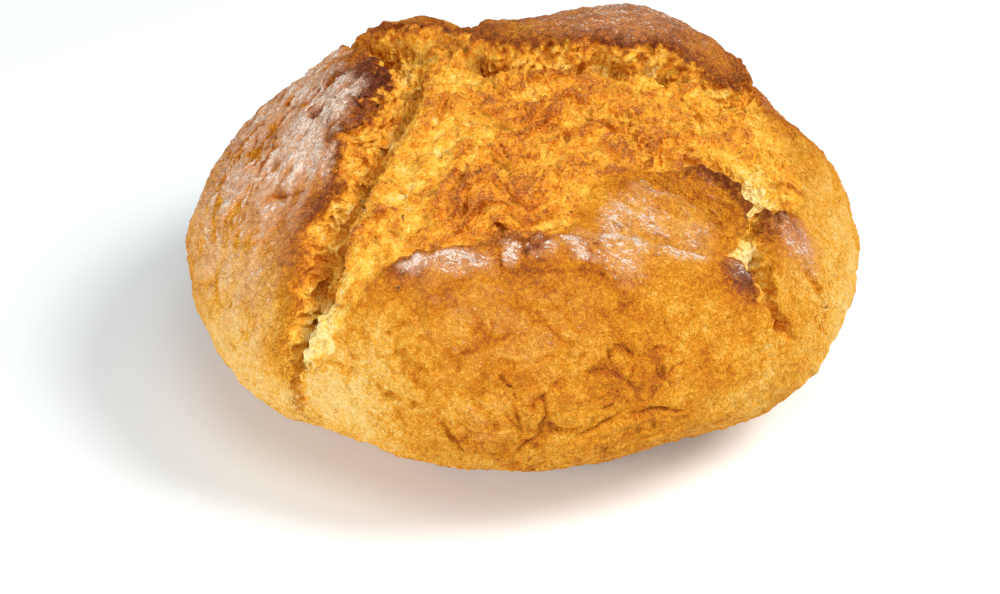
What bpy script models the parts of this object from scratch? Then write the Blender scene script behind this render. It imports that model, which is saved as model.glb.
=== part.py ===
"""Corn bread loaf: a round hearth loaf whose skin tore open over the crown while it baked.

The loaf is one solid. It starts as a round body, turned from a meridian, and its skin is then raised and
lowered. Places on the skin are given on a flat map, as if the skin were peeled off and rolled out from the
crown: x runs to the right, y to the back, and the distance from the crown is the way along the skin, in
millimetres. The front of the loaf is at -y.
"""

import math

import bpy
import numpy as np

MM = 0.001

# The round body, in millimetres.
GIRTH_RADIUS = 100.0  # at the widest place
GIRTH_HEIGHT = 38.5  # of the widest place above the table
CROWN_RISE = 60.0  # from the widest place up to the crown
SHOULDER_POWER = 2.05  # 2 is an ellipse, more is a squarer shoulder
FOOT_RADIUS = 59.0  # where the lower flank would meet the table
FLANK_POWER = 1.8  # how late the lower flank turns in
GIRTH_SOFTNESS = 0.3  # share of the lower flank over which the girth is rounded
FOOT_ROUNDING = 5.0  # height over which the flank rounds into the flat underside
CORNERS = 0.03  # how much wider the loaf is along its diagonals, as a share

# Broad shape: (x, y, reach, height) of soft swells and slumps of the whole body.
BODY_SWELLS = {
    "back_left_slump": (-78, 64, 30, -3.4),
    "back_right_slump": (92, 54, 28, -5.0),
    "back_slump": (-6, 74, 22, -4.0),
    "left_slab": (-66, 0, 30, 1.2),
    "left_slab_top": (-54, 58, 15, 2.8),
    "back_slab": (36, 57, 25, 6.4),
    "back_slab_corner": (52, 34, 15, 4.6),
    "back_left_lump": (-36, 56, 12, 2.2),
    "front_foot": (-6, -172, 46, -3.2),
    "front_left_foot": (-92, -138, 36, -4.8),
    "front_right_foot": (82, -140, 42, -5.4),
    "right_low": (134, -58, 28, -2.6),
}

# The tear: the edge of the sound skin, going round it clockwise from the front-left tip.
LEFT_LIP = (
    (-87, -105), (-83, -98), (-80, -92), (-77, -86), (-74, -81), (-70, -73), (-67, -64), (-66, -57),
    (-64, -51), (-60, -46), (-55, -41), (-55, -35), (-54, -28), (-54, -22), (-50, -19), (-44, -15),
    (-48, -10), (-44, -4), (-42, 4), (-46, 12), (-47, 22), (-50, 34), (-55, 48), (-61, 64), (-72, 84),
)  # fmt: skip
BACK_LIP = (
    (-60, 76), (-51, 58), (-41, 49), (-30, 46), (-22, 42), (-17, 35), (-12, 27), (-7, 21), (-1, 20),
    (6, 22), (12, 24), (20, 23), (28, 21), (35, 22), (42, 21), (49, 17), (56, 14), (62, 18), (66, 31),
    (74, 49), (86, 70),
)  # fmt: skip
RIGHT_LIP = (
    (84, 56), (77, 38), (75, 22), (79, 9), (83, -5), (86, -16), (88, -28), (85, -37), (80, -40),
    (74, -43), (70, -46), (70, -52), (72, -57), (74, -62), (77, -67), (80, -71), (86, -75), (94, -79),
)  # fmt: skip
FRONT_LIP = (
    (84, -79), (76, -77), (71, -74), (67, -72), (64, -69), (61, -66), (56, -63), (57, -58), (61, -53),
    (62, -49), (60, -45), (57, -41), (53, -36), (48, -37), (42, -40), (35, -41), (27, -44), (22, -49),
    (20, -57), (14, -66), (4, -68), (-7, -70), (-18, -71), (-30, -71), (-36, -74), (-43, -79),
    (-50, -85), (-60, -92), (-70, -97), (-79, -102),
)  # fmt: skip

# Where the lip curls up and hangs over the tear: (x, y, reach, height).
LIP_CURLS = {
    "left_slab": (-42, 0, 34, 3.2),
    "left_low": (-64, -60, 22, 2.2),
    "left_slit": (-74, -88, 12, 1.6),
    "back_slab": (26, 24, 44, 3.0),
    "back_slab_corner": (60, 22, 12, 2.4),
    "back_left": (-34, 50, 14, 1.8),
    "tongue": (54, -42, 13, 2.8),
    "right_tip": (74, -46, 11, 2.4),
    "front_tip": (62, -69, 9, 2.0),
    "front_hem": (-6, -70, 34, 1.2),
}
LIP_WIDTH = 9.0  # how far back from the lip the curl starts
LIP_WALL = 4.0  # width on the map that the broken wall under the lip takes

# Where the skin runs into the tear with no step: (x, y, reach).
SOFT_EDGES = {
    "right_side": (86, -8, 26),
    "front_left": (-48, -88, 9),
    "tongue_root": (20, -55, 11),
    "right_low": (94, -78, 9),
}

TEAR_FLOOR = -2.6  # level of the open crumb, against the sound skin

# Hollows and crests: (half width, height, path). They fade out towards both ends of the path.
TEAR_STROKES = {
    "left_gully": (
        7.5, -6.5,
        ((-84, -105), (-78, -96), (-71, -86), (-63, -73), (-57, -59), (-52, -47), (-46, -35),
         (-41, -18), (-37, -3), (-35, 8), (-37, 22), (-44, 40), (-60, 72)),
    ),
    "left_gully_bed": (
        4.6, -1.6,
        ((-67, -81), (-60, -70), (-55, -58), (-50, -46), (-44, -34), (-38, -17), (-34, -2), (-30, 14)),
    ),
    "left_gully_slit": (
        2.0, -8.0,
        ((-92, -116), (-87, -107), (-82, -99), (-78, -93), (-74, -87), (-70, -81), (-66, -74)),
    ),
    "left_pit_low": (1.8, -5.0, ((-66, -82), (-63, -77), (-60, -72))),
    "left_pit_mid": (1.6, -5.5, ((-58, -70), (-55, -65), (-51, -58))),
    "left_pit_top": (2.4, -4.5, ((-53, -41), (-50, -37), (-47, -32))),
    "left_mound_edge": (
        2.8, 2.4,
        ((-53, -80), (-51, -71), (-47, -62), (-42, -52), (-38, -40), (-33, -29), (-28, -10), (-24, 9)),
    ),
    "fresh_rise": (4.6, 3.4, ((-77, -99), (-69, -90), (-62, -83), (-57, -76))),
    "back_gully": (
        6.5, -8.5,
        ((-22, 22), (-10, 15), (0, 13), (11, 15), (23, 14), (36, 15), (48, 12), (62, 9)),
    ),
    "left_pocket": (8.0, -3.0, ((-36, 26), (-28, 22), (-18, 22))),
    "back_left_gully": (6.0, -4.0, ((-24, 34), (-38, 40), (-52, 54), (-64, 76))),
    "back_right_gully": (5.0, -8.5, ((56, 9), (67, 14), (72, 32), (86, 64))),
    "right_gully": (5.5, -6.5, ((56, -28), (62, -36), (66, -42), (74, -38), (84, -32))),
    "right_low_gully": (
        2.6, -6.5,
        ((65, -44), (69, -52), (70, -58), (72, -64), (76, -69), (82, -74), (90, -78)),
    ),
    "front_rise": (19.0, 2.2, ((-44, -66), (-24, -56), (0, -52), (24, -38), (46, -20), (70, -10))),
    "crumb_brow": (4.0, 2.6, ((-14, -2), (-4, -2), (6, 3), (18, 7), (32, 7), (46, 5), (60, 3))),
    "crest_left": (4.5, 2.4, ((-34, -16), (-24, -11), (-12, -11), (-2, -15), (8, -15), (14, -20))),
    "crest_mid": (4.0, -1.8, ((0, -9), (12, -10), (24, -14), (36, -14), (50, -10))),
    "crest_low": (4.0, 1.8, ((-20, -30), (-10, -33), (2, -31))),
    "crest_right": (3.5, 2.0, ((6, -18), (14, -20), (20, -27), (26, -33))),
    "baked_patch": (5.5, 2.4, ((-21, -56), (-17, -49), (-8, -46), (2, -48), (8, -53))),
    "knob": (3.6, 3.0, ((46, 2), (51, 3), (56, 1))),
    "wall_shelf": (4.0, 3.0, ((-32, 4), (-26, 8), (-18, 12))),
}
SKIN_STROKES = {
    "slab_ridge": (3.4, 1.5, ((-58, 34), (-56, 14), (-52, -2), (-55, -18))),
    "slab_flap": (4.0, -1.6, ((-50, 32), (-46, 14), (-45, 2), (-48, -8))),
    "front_hem": (1.8, 1.6, ((-34, -73), (-26, -72), (-12, -73), (4, -71), (20, -69), (36, -67), (54, -66))),
    "tongue_fold": (2.6, 3.0, ((25, -46), (32, -50), (39, -51), (46, -54), (54, -60))),
    "tongue_hollow": (3.0, -2.6, ((22, -63), (32, -61), (42, -61), (52, -62))),
    "tongue_slope": (4.0, -2.0, ((34, -44), (42, -46), (50, -48), (57, -54))),
    "back_notch": (3.6, -7.0, ((-20, 36), (-18, 56), (-17, 74), (-17, 92), (-17, 112))),
    "slit_tail": (1.5, -3.0, ((-82, -97), (-86, -104), (-89, -111), (-92, -119))),
    "right_tip_swell": (5.0, 2.4, ((72, -49), (79, -50), (85, -54))),
    "right_groove": (1.8, -2.4, ((86, -54), (92, -55), (98, -57), (102, -61), (101, -68))),
    "right_low_dent": (3.0, -1.6, ((79, -60), (83, -66), (90, -70))),
    "shoulder_groove": (1.8, -2.0, ((80, 16), (85, 8), (88, -2))),
    "side_groove": (1.6, -1.6, ((100, 2), (103, -8), (106, -17))),
    "left_groove": (2.2, -1.2, ((-74, -24), (-72, -34), (-66, -40))),
    "left_dent": (6.0, -1.4, ((-84, 6), (-78, -8), (-76, -22))),
    "back_groove": (2.6, -2.4, ((-34, 92), (-18, 98), (-2, 95), (14, 101), (30, 98))),
    "back_dent": (12.0, -2.0, ((20, 70), (36, 82), (44, 98))),
    "low_back_groove": (2.2, -1.8, ((40, 122), (56, 116), (70, 106))),
}

UNDULATION = (34.0, 1.5)  # lump size and height of the skin's own unevenness
DIMPLES = (9.0, 0.45)
CRAGS = ((11.0, 1.6), (5.5, 1.3), (2.8, 0.8))  # lump sizes and heights of the open crumb
RAGGED_EDGE = ((9.0, 1.8), (3.5, 1.7))  # lump sizes and swings of the torn edge
WALL_GRAIN = (2.6, 0.5)

SPHERE_STEPS = 7
VOXEL = 1.15
TRIANGLES = 11600
MERIDIAN_STEPS = 400
FLAT_BELOW = 0.35  # anything lower than this lies on the table

CRUST_COLOUR = (0.62, 0.29, 0.075, 1.0)
CRUST_ROUGHNESS = 0.85


def meridian():
    """Radius, height and way along the skin, from the crown to the edge of the flat underside."""
    turn = np.linspace(0.0, math.pi / 2, MERIDIAN_STEPS)
    upper_radius = GIRTH_RADIUS * np.sin(turn) ** (2 / SHOULDER_POWER)
    upper_height = GIRTH_HEIGHT + CROWN_RISE * np.cos(turn) ** (2 / SHOULDER_POWER)
    fall = np.linspace(0.0, 1.0 + FOOT_ROUNDING / GIRTH_HEIGHT, MERIDIAN_STEPS)[1:]
    soft = GIRTH_SOFTNESS
    turn_in = (fall**2 + soft**2) ** (FLANK_POWER / 2) - soft**FLANK_POWER
    turn_in /= (1 + soft**2) ** (FLANK_POWER / 2) - soft**FLANK_POWER
    lower_radius = GIRTH_RADIUS - (GIRTH_RADIUS - FOOT_RADIUS) * turn_in
    straight = GIRTH_HEIGHT * (1.0 - fall)
    rounding = np.clip(FOOT_ROUNDING - np.abs(straight), 0.0, None) ** 2 / (4 * FOOT_ROUNDING)
    lower_height = np.maximum(straight, 0.0) + rounding
    radius = np.concatenate([upper_radius, lower_radius])
    height = np.concatenate([upper_height, lower_height])
    steps = np.hypot(np.diff(radius), np.diff(height))
    return radius, height, np.concatenate([[0.0], np.cumsum(steps)])


def smooth_line(points, closed=False, steps=6):
    """A rounded line through the points (Catmull-Rom)."""
    p = np.array(points, float)
    if closed:
        p = np.concatenate([p[-1:], p, p[:2]])
    else:
        p = np.concatenate([2 * p[:1] - p[1:2], p, 2 * p[-1:] - p[-2:-1]])
    t = np.linspace(0.0, 1.0, steps, endpoint=False)[:, None]
    pieces = []
    for a, b, c, d in zip(p[:-3], p[1:-2], p[2:-1], p[3:]):
        pieces.append(
            0.5 * (2 * b + (c - a) * t + (2 * a - 5 * b + 4 * c - d) * t**2 + (3 * b - a - 3 * c + d) * t**3)
        )
    line = np.concatenate(pieces)
    return line if closed else np.concatenate([line, p[-2:-1]])


def distance_along(spots, line, closed=False):
    """How far each spot is from the line, and how far along the line, from 0 to 1, its nearest place is."""
    ends = np.roll(line, -1, axis=0) if closed else line[1:]
    starts = line if closed else line[:-1]
    lengths = np.hypot(*(ends - starts).T)
    before = np.concatenate([[0.0], np.cumsum(lengths)])
    nearest = np.full(len(spots), np.inf)
    share = np.zeros(len(spots))
    for a, b, length, run in zip(starts, ends, lengths, before):
        along = np.clip(((spots - a) @ (b - a)) / max(length, 1e-9) ** 2, 0.0, 1.0)
        gap = np.hypot(*(spots - a - along[:, None] * (b - a)).T)
        closer = gap < nearest
        nearest[closer] = gap[closer]
        share[closer] = (run + along[closer] * length) / before[-1]
    return nearest, share


def is_inside(spots, loop):
    """Which spots lie inside the closed line, by counting the edges that a ray crosses."""
    x, y = spots.T
    inside = np.zeros(len(spots), bool)
    for (ax, ay), (bx, by) in zip(loop, np.roll(loop, -1, axis=0)):
        if ay == by:
            continue
        crosses = ((ay > y) != (by > y)) & (x < (bx - ax) * (y - ay) / (by - ay) + ax)
        inside ^= crosses
    return inside


def lumps(places, size, seed):
    """Gradient noise in space, from about -1 to 1, whose lumps are about this size."""
    draw = np.random.default_rng(seed)
    order = draw.permutation(256)
    slopes = draw.normal(size=(256, 3))
    slopes /= np.linalg.norm(slopes, axis=1)[:, None]
    scaled = places / size + draw.uniform(0, 100, 3)
    cell = np.floor(scaled).astype(int)
    inner = scaled - cell
    ease = inner**3 * (inner * (inner * 6 - 15) + 10)
    total = np.zeros(len(places))
    for corner in np.ndindex(2, 2, 2):
        x, y, z = ((cell + corner) & 255).T
        slope = slopes[order[(order[(order[x] + y) & 255] + z) & 255]]
        weight = np.prod(np.where(np.array(corner) == 1, ease, 1 - ease), axis=1)
        total += weight * np.einsum("ij,ij->i", inner - corner, slope)
    return total * 1.7


def ease_between(low, high, value):
    t = np.clip((value - low) / (high - low), 0.0, 1.0)
    return t * t * (3 - 2 * t)


def bells(spots, table):
    """Sum of soft round bumps, each (x, y, reach, height)."""
    total = np.zeros(len(spots))
    for x, y, reach, height in table.values():
        gap = np.hypot(spots[:, 0] - x, spots[:, 1] - y)
        total += height * np.exp(-((gap / reach) ** 2))
    return total


def strokes(spots, table):
    """Sum of the long hollows and crests."""
    total = np.zeros(len(spots))
    for half_width, height, path in table.values():
        line = smooth_line(path)
        near = np.hypot(*(spots - line.mean(0)).T) < np.hypot(*(line - line.mean(0)).T).max() + 3 * half_width
        gap, share = distance_along(spots[near], line)
        fade = ease_between(0.0, 0.16, share) * ease_between(0.0, 0.16, 1 - share)
        total[near] += height * fade * np.exp(-((gap / half_width) ** 2))
    return total


def tear_loop():
    return smooth_line(LEFT_LIP + BACK_LIP + RIGHT_LIP + FRONT_LIP, closed=True, steps=3)


def skin_level(spots, places):
    """Height of the skin and its sideways shift towards the tear, for spots on the map."""
    gap, _ = distance_along(spots, tear_loop(), closed=True)
    sound = np.where(is_inside(spots, tear_loop()), -gap, gap)
    for seed, (size, swing) in enumerate(RAGGED_EDGE):
        sound += swing * lumps(places, size, 40 + seed)

    soft = np.zeros(len(spots))
    for x, y, reach in SOFT_EDGES.values():
        soft = np.maximum(soft, np.exp(-((np.hypot(spots[:, 0] - x, spots[:, 1] - y) / reach) ** 2)))
    wall = LIP_WALL * (1 + 3.5 * soft)

    size, height = UNDULATION
    body = bells(spots, BODY_SWELLS) + height * lumps(places, size, 3)

    curl = bells(spots, LIP_CURLS) * (1 - soft)
    rise = np.exp(-np.clip(sound, 0, None) / LIP_WIDTH)
    size, height = DIMPLES
    skin = curl * rise + strokes(spots, SKIN_STROKES) + height * lumps(places, size, 5)

    crags = sum(h * lumps(places, s, 20 + i) for i, (s, h) in enumerate(CRAGS))
    crumb = TEAR_FLOOR * (1 - soft) + strokes(spots, TEAR_STROKES) + crags * (1 - 0.5 * soft)

    cover = ease_between(-wall, 0.0, sound)
    step = np.clip(skin - crumb, 0.0, 12.0)
    lean = 0.34 * step * curl / (curl + 1.0)
    out = lean * (rise * (sound > 0) + (sound <= 0) * (2.2 * cover - 1.2 * cover**2 - 0.6 * cover * (1 - cover)))
    size, height = WALL_GRAIN
    broken = 4 * cover * (1 - cover)
    level = body + crumb + (skin - crumb) * cover + broken * height * lumps(places, size, 9)
    return level, out


def shape_skin(sphere):
    """Places of the loaf's surface for the points of a unit sphere, in millimetres."""
    radius, height, way = meridian()
    foot_turn = math.radians(128)
    turn = np.arccos(np.clip(sphere[:, 2], -1, 1))
    bearing = np.arctan2(sphere[:, 1], sphere[:, 0])
    around = np.stack([np.cos(bearing), np.sin(bearing)], axis=1)
    along = np.clip(turn / foot_turn, 0, 1) * way[-1]
    under = np.clip((turn - foot_turn) / (math.pi - foot_turn), 0, 1)

    def body_place(a, around_a):
        r, z = np.interp(a, way, radius), np.interp(a, way, height)
        r = r * (1 + CORNERS * (2 * around_a[:, 0] * around_a[:, 1]) ** 2)
        return np.column_stack([r[:, None] * around_a, z])

    places = body_place(along, around)
    spots = along[:, None] * around
    level, out = skin_level(spots, places)

    step = 0.5
    down = body_place(np.minimum(along + step, way[-1]), around) - body_place(np.maximum(along - step, 0), around)
    down /= np.maximum(np.linalg.norm(down, axis=1)[:, None], 1e-9)
    side = np.column_stack([-around[:, 1], around[:, 0], np.zeros(len(around))])
    normal = np.cross(side, down)
    inward = np.sum(normal[:, :2] * around, axis=1) < 0
    normal[inward] *= -1

    loop = tear_loop()
    probe = 0.6
    slope = []
    for shift in ((probe, 0), (0, probe)):
        ahead, _ = distance_along(spots + shift, loop, closed=True)
        behind, _ = distance_along(spots - np.array(shift), loop, closed=True)
        slope.append(ahead - behind)
    slope = np.stack(slope, axis=1)
    slope[is_inside(spots, loop)] *= -1
    slope /= np.maximum(np.linalg.norm(slope, axis=1)[:, None], 1e-6)
    outwards = -(slope[:, :1] * around[:, :1] + slope[:, 1:] * around[:, 1:])
    sideways = slope[:, :1] * around[:, 1:] - slope[:, 1:] * around[:, :1]

    normal[:, 2] *= ease_between(0.0, 9.0, places[:, 2])
    shaped = places + level[:, None] * normal + out[:, None] * (outwards * down + sideways * side)
    shaped[:, :2] *= 1 - under[:, None]
    shaped[shaped[:, 2] < FLAT_BELOW, 2] = 0.0
    return shaped


def add_body():
    """The loaf's skin as one closed mesh, even enough for its overhangs to be cleaned up."""
    bpy.ops.mesh.primitive_ico_sphere_add(subdivisions=SPHERE_STEPS, radius=1.0)
    loaf = bpy.context.object
    loaf.name = "loaf"
    points = np.empty(len(loaf.data.vertices) * 3)
    loaf.data.vertices.foreach_get("co", points)
    shaped = shape_skin(points.reshape(-1, 3)) * MM
    loaf.data.vertices.foreach_set("co", shaped.ravel())
    loaf.data.update()
    return loaf


def apply(loaf, modifier):
    bpy.context.view_layer.objects.active = loaf
    bpy.ops.object.modifier_apply(modifier=modifier.name)


def lay_flat(loaf):
    """Presses the underside onto the table."""
    for vertex in loaf.data.vertices:
        if vertex.co.z < FLAT_BELOW * MM:
            vertex.co.z = 0.0


def even_out(loaf):
    """Remeshes the skin, so that a lip that hangs over the tear stays clean."""
    remesh = loaf.modifiers.new("even", "REMESH")
    remesh.mode = "VOXEL"
    remesh.voxel_size = VOXEL * MM
    apply(loaf, remesh)


def lighten(loaf):
    """Keeps the faces where the relief needs them."""
    loaf.data.calc_loop_triangles()
    decimate = loaf.modifiers.new("lighten", "DECIMATE")
    decimate.ratio = TRIANGLES / len(loaf.data.loop_triangles)
    decimate.use_collapse_triangulate = True
    apply(loaf, decimate)


def stand_on_origin(loaf):
    """Puts the middle of the loaf's length and width over the origin."""
    low, high = np.array(loaf.bound_box)[0], np.array(loaf.bound_box)[6]
    middle = (low + high) / 2
    for vertex in loaf.data.vertices:
        vertex.co.x -= middle[0]
        vertex.co.y -= middle[1]


def crust_material():
    material = bpy.data.materials.new("corn_crust")
    material.use_nodes = True
    surface = material.node_tree.nodes["Principled BSDF"]
    surface.inputs["Base Color"].default_value = CRUST_COLOUR
    surface.inputs["Roughness"].default_value = CRUST_ROUGHNESS
    surface.inputs["Metallic"].default_value = 0.0
    return material


def main():
    for old in list(bpy.data.objects):
        bpy.data.objects.remove(old)
    loaf = add_body()
    even_out(loaf)
    lay_flat(loaf)
    lighten(loaf)
    lay_flat(loaf)
    stand_on_origin(loaf)
    loaf.data.materials.append(crust_material())
    loaf.data.shade_smooth()


main()
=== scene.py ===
import math

import bpy
import numpy as np
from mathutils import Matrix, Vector


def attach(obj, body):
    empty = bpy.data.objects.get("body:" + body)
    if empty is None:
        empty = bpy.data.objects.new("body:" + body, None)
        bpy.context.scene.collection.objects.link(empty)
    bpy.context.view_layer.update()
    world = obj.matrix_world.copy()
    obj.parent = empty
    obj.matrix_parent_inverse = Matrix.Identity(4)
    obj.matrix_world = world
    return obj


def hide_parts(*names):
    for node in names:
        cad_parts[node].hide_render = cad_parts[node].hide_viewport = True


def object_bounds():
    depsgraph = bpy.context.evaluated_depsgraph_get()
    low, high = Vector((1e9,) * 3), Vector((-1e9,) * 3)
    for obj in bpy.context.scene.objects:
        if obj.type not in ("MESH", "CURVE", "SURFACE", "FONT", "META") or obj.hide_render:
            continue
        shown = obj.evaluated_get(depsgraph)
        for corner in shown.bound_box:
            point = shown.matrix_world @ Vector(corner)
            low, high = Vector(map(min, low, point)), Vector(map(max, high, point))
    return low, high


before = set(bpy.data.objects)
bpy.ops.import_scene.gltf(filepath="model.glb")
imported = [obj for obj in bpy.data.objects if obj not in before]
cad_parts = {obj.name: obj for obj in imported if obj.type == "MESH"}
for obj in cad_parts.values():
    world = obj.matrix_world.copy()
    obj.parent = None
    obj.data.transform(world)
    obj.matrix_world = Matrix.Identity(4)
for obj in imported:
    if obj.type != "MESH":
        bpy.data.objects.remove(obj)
cad_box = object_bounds()

# ---------------------------------------------------------------------------------------------
# The table and the light. A plain white sheet of opal glass, faintly lit from below, that the loaf
# stands on; a wide soft lamp high on the right, a lower and weaker one on the left, a faint one
# over the front, and a dim pale room all round.
# ---------------------------------------------------------------------------------------------

bpy.ops.object.select_all(action="DESELECT")
bpy.ops.mesh.primitive_plane_add(size=12.0, location=(0, 0, 0))
table = bpy.context.object
table.name = "table"
table_paint = bpy.data.materials.new("table_white")
table_paint.use_nodes = True
table_face = table_paint.node_tree.nodes["Principled BSDF"]
table_face.inputs["Base Color"].default_value = (0.90, 0.945, 0.965, 1.0)
table_face.inputs["Roughness"].default_value = 0.6
table_face.inputs["Specular IOR Level"].default_value = 0.2
table_face.inputs["Emission Color"].default_value = (0.80, 0.96, 1.0, 1.0)
table_face.inputs["Emission Strength"].default_value = 0.18
table.data.materials.append(table_paint)

world = bpy.data.worlds.new("pale_room")
world.use_nodes = True
world.node_tree.nodes["Background"].inputs["Color"].default_value = (1.0, 1.0, 1.0, 1.0)
world.node_tree.nodes["Background"].inputs["Strength"].default_value = 0.17
bpy.context.scene.world = world


def add_lamp(name, place, aim, size, watts, tint=(1.0, 1.0, 1.0)):
    lamp = bpy.data.lights.new(name, "AREA")
    lamp.shape = "DISK"
    lamp.size = size
    lamp.energy = watts
    lamp.color = tint
    holder = bpy.data.objects.new(name, lamp)
    holder.location = place
    holder.rotation_euler = (Vector(aim) - Vector(place)).to_track_quat("-Z", "Y").to_euler()
    bpy.context.scene.collection.objects.link(holder)


add_lamp("key", (0.98, -0.25, 1.18), (0, 0, 0.04), 0.7, 19.5, (1.0, 0.985, 0.96))
add_lamp("left_fill", (-1.3, -1.1, 0.55), (0, 0, 0.05), 0.6, 18.0)
add_lamp("front_fill", (0.25, -0.95, 1.55), (0, 0, 0.03), 0.9, 9.0)

camera = bpy.data.objects.new("camera", bpy.data.cameras.new("camera"))
camera.data.lens = 100
camera.data.sensor_width = 36
camera_aim = Vector((-0.0068, 0.0, 0.0205))
camera_rise, camera_distance = math.radians(33), 0.8416
camera_way = Vector((0, -math.cos(camera_rise), math.sin(camera_rise)))
camera.location = camera_aim + camera_distance * camera_way
camera.rotation_euler = (camera_aim - camera.location).to_track_quat("-Z", "Y").to_euler()
bpy.context.scene.collection.objects.link(camera)
bpy.context.scene.camera = camera
bpy.context.scene.view_settings.view_transform = "Standard"

# ---------------------------------------------------------------------------------------------
# The loaf: corn and wheat dough, risen round, floured, and baked on the hearth. It is one piece
# of food. Places on it are given on its skin rolled out flat from the crown, in millimetres:
# x to the right, y to the back, and the distance from the crown is the way along the skin.
# ---------------------------------------------------------------------------------------------

MM = 0.001
girth_radius, girth_height, crown_rise, shoulder_power = 100.0, 38.5, 60.0, 2.05
foot_radius, flank_power, girth_softness, foot_rounding, corners = 59.0, 1.8, 0.3, 5.0, 0.03

turn = np.linspace(0.0, math.pi / 2, 400)
fall = np.linspace(0.0, 1.0 + foot_rounding / girth_height, 400)[1:]
turn_in = (fall**2 + girth_softness**2) ** (flank_power / 2) - girth_softness**flank_power
turn_in /= (1 + girth_softness**2) ** (flank_power / 2) - girth_softness**flank_power
straight = girth_height * (1.0 - fall)
rounding = np.clip(foot_rounding - np.abs(straight), 0.0, None) ** 2 / (4 * foot_rounding)
dome_radius = girth_radius * np.sin(turn) ** (2 / shoulder_power)
dome_height = girth_height + crown_rise * np.cos(turn) ** (2 / shoulder_power)
flank_radius = girth_radius - (girth_radius - foot_radius) * turn_in
flank_height = np.maximum(straight, 0.0) + rounding
profile_radius = np.concatenate([dome_radius, flank_radius])
profile_height = np.concatenate([dome_height, flank_height])
profile_steps = np.hypot(np.diff(profile_radius), np.diff(profile_height))
profile_way = np.concatenate([[0.0], np.cumsum(profile_steps)])


def on_round_body(along, around):
    """Places on the plain round body for ways along the skin and directions round the loaf."""
    r = np.interp(along, profile_way, profile_radius)
    r = r * (1 + corners * (2 * around[:, 0] * around[:, 1]) ** 2)
    return np.column_stack([r[:, None] * around, np.interp(along, profile_way, profile_height)])


body_swells = {
    "back_left_slump": (-78, 64, 30, -3.4),
    "back_right_slump": (92, 54, 28, -5.0),
    "back_slump": (-6, 74, 22, -4.0),
    "left_slab": (-66, 0, 30, 1.2),
    "left_slab_top": (-54, 58, 15, 2.8),
    "back_slab": (36, 57, 25, 6.4),
    "back_slab_corner": (52, 34, 15, 4.6),
    "back_left_lump": (-36, 56, 12, 2.2),
    "front_foot": (-6, -172, 46, -3.2),
    "front_left_foot": (-92, -138, 36, -4.8),
    "front_right_foot": (82, -140, 42, -5.4),
    "right_low": (134, -58, 28, -2.6),
}

left_lip = (
    (-87, -105), (-83, -98), (-80, -92), (-77, -86), (-74, -81), (-70, -73), (-67, -64), (-66, -57),
    (-64, -51), (-60, -46), (-55, -41), (-55, -35), (-54, -28), (-54, -22), (-50, -19), (-44, -15),
    (-48, -10), (-44, -4), (-42, 4), (-46, 12), (-47, 22), (-50, 34), (-55, 48), (-61, 64), (-72, 84),
)  # fmt: skip
back_lip = (
    (-60, 76), (-51, 58), (-41, 49), (-30, 46), (-22, 42), (-17, 35), (-12, 27), (-7, 21), (-1, 20),
    (6, 22), (12, 24), (20, 23), (28, 21), (35, 22), (42, 21), (49, 17), (56, 14), (62, 18), (66, 31),
    (74, 49), (86, 70),
)  # fmt: skip
right_lip = (
    (84, 56), (77, 38), (75, 22), (79, 9), (83, -5), (86, -16), (88, -28), (85, -37), (80, -40),
    (74, -43), (70, -46), (70, -52), (72, -57), (74, -62), (77, -67), (80, -71), (86, -75), (94, -79),
)  # fmt: skip
front_lip = (
    (84, -79), (76, -77), (71, -74), (67, -72), (64, -69), (61, -66), (56, -63), (57, -58), (61, -53),
    (62, -49), (60, -45), (57, -41), (53, -36), (48, -37), (42, -40), (35, -41), (27, -44), (22, -49),
    (20, -57), (14, -66), (4, -68), (-7, -70), (-18, -71), (-30, -71), (-36, -74), (-43, -79),
    (-50, -85), (-60, -92), (-70, -97), (-79, -102),
)  # fmt: skip

# Where the lip curls up and hangs over the tear, and where the skin runs into it with no step.
lip_curls = {
    "left_slab": (-42, 0, 34, 3.2),
    "left_low": (-64, -60, 22, 2.2),
    "left_slit": (-74, -88, 12, 1.6),
    "back_slab": (26, 24, 44, 3.0),
    "back_slab_corner": (60, 22, 12, 2.4),
    "back_left": (-34, 50, 14, 1.8),
    "tongue": (54, -42, 13, 2.8),
    "right_tip": (74, -46, 11, 2.4),
    "front_tip": (62, -69, 9, 2.0),
    "front_hem": (-6, -70, 34, 1.2),
}
soft_edges = {
    "right_side": (86, -8, 26),
    "front_left": (-48, -88, 9),
    "tongue_root": (20, -55, 11),
    "right_low": (94, -78, 9),
}
lip_width, lip_wall, soft_wall_gain, tear_floor = 9.0, 4.0, 3.5, -2.6
lip_lean, lip_lean_limit, full_gully = 0.34, 12.0, 9.0

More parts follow.
